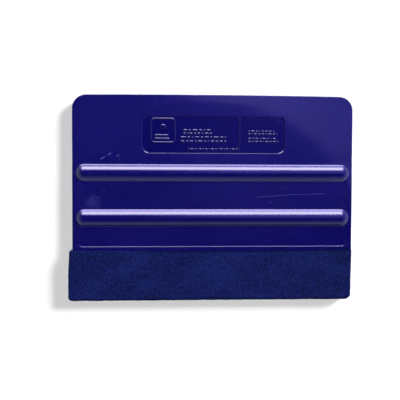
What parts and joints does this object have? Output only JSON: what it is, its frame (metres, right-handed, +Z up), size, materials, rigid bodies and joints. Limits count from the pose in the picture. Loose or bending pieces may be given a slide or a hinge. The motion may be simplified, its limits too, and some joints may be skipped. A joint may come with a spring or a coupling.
{
  "type": "squeegee applicator",
  "caption": "Flat plastic hand squeegee card with grip ribs and a replaceable felt strip folded over its working edge, for laying vinyl film.",
  "frame": {"origin": "on the surface the applicator lies on, below the middle of the whole applicator with its felt", "axes": "+X along the card's width, +Y from the felt edge towards the grip edge, +Z up out of the face with the label recess"},
  "size_m": [0.1016, 0.073, 0.0048],
  "materials": {
    "card_plastic": "semi-gloss moulded",
    "adhesive_film": "tacky film",
    "felt": "pressed wool-blend felt"
  },
  "bodies": {
    "card": {"squeegee_card": "card_plastic"},
    "felt_edge": {"felt_strip": "felt", "edge_adhesive": "adhesive_film"}
  },
  "joints": [
    {"name": "felt_strip_removal", "type": "slide", "parent": "card", "child": "felt_edge", "axis": [0, -1, 0], "range_m": [0, 0.02]}
  ]
}
